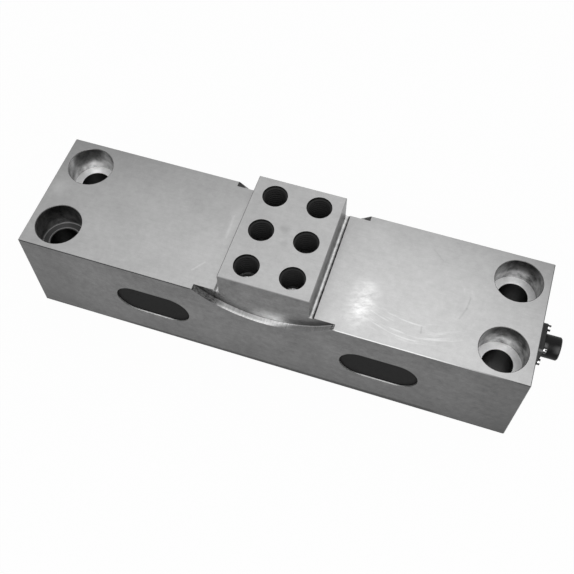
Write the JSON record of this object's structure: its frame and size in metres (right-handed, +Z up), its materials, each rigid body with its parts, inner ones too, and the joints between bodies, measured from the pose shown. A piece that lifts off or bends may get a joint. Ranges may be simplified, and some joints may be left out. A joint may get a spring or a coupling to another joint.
{
  "type": "weighing load cell",
  "caption": "Double-ended shear beam load cell: a steel bar with a raised threaded load block, counterbored bolt holes at its ends, potted gauge pockets and an end connector.",
  "frame": {"origin": "centre of the beam's underside", "axes": "+X along the beam towards the connector, +Z up through the load block, -Y is the front face"},
  "size_m": [0.2998, 0.076, 0.081],
  "materials": {
    "machined_steel": "ground and milled",
    "gauge_foil": "satin foil",
    "terminal_laminate": "matte",
    "black_potting": "matte",
    "wire_insulation": "satin",
    "gasket_rubber": "matte",
    "black_shell": "satin",
    "insulator": "matte",
    "contact_metal": "polished",
    "board_laminate": "satin",
    "resistor_ceramic": "matte",
    "screw_steel": "plated"
  },
  "bodies": {
    "root": {"beam_body": "machined_steel", "strain_gauge_left_front": "gauge_foil", "solder_terminals_left_front": "terminal_laminate", "potting_plug_left_front": "black_potting", "strain_gauge_left_back": "gauge_foil", "solder_terminals_left_back": "terminal_laminate", "potting_plug_left_back": "black_potting", "strain_gauge_right_front": "gauge_foil", "solder_terminals_right_front": "terminal_laminate", "potting_plug_right_front": "black_potting", "strain_gauge_right_back": "gauge_foil", "solder_terminals_right_back": "terminal_laminate", "potting_plug_right_back": "black_potting", "gauge_wires_left": "wire_insulation", "gauge_wires_right": "wire_insulation", "connector_gasket": "gasket_rubber", "connector_shell": "black_shell", "connector_insert": "insulator", "connector_contacts": "contact_metal", "trim_board": "board_laminate", "trim_resistors": "resistor_ceramic", "connector_screws": "screw_steel"}
  },
  "joints": []
}
